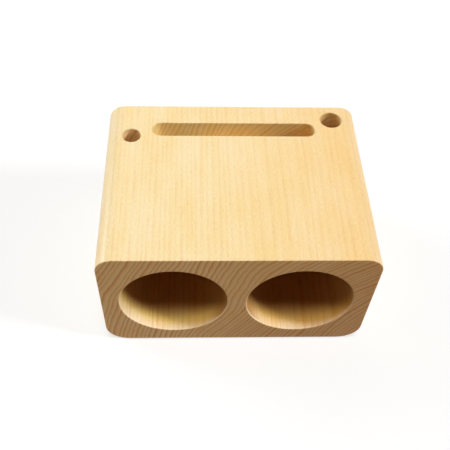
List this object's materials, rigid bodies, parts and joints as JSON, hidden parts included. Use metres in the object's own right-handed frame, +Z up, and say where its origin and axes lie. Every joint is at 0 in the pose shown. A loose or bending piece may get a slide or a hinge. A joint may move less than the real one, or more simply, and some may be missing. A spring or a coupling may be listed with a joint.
{
  "type": "wooden phone stand",
  "caption": "Solid wood desk block: a long top slot holds a phone upright and leads its sound out of round horns in the front, with pen holes beside the slot.",
  "frame": {"origin": "middle of the footprint, on the surface that the pads stand on (bottom centre of the bounding box)", "axes": "+X along the slot to the right as seen from the horns, the longest side; +Y to the back, away from the horn mouths; +Z up, the shortest side"},
  "size_m": [0.14, 0.108, 0.075],
  "materials": {
    "pale_wood": "satin clear lacquer on pale, straight-grained wood",
    "pad_rubber": "matte dark grey rubber"
  },
  "bodies": {
    "root": {"block": "pale_wood", "foot_pad_front_left": "pad_rubber", "foot_pad_front_right": "pad_rubber", "foot_pad_rear_left": "pad_rubber", "foot_pad_rear_right": "pad_rubber"}
  },
  "joints": []
}
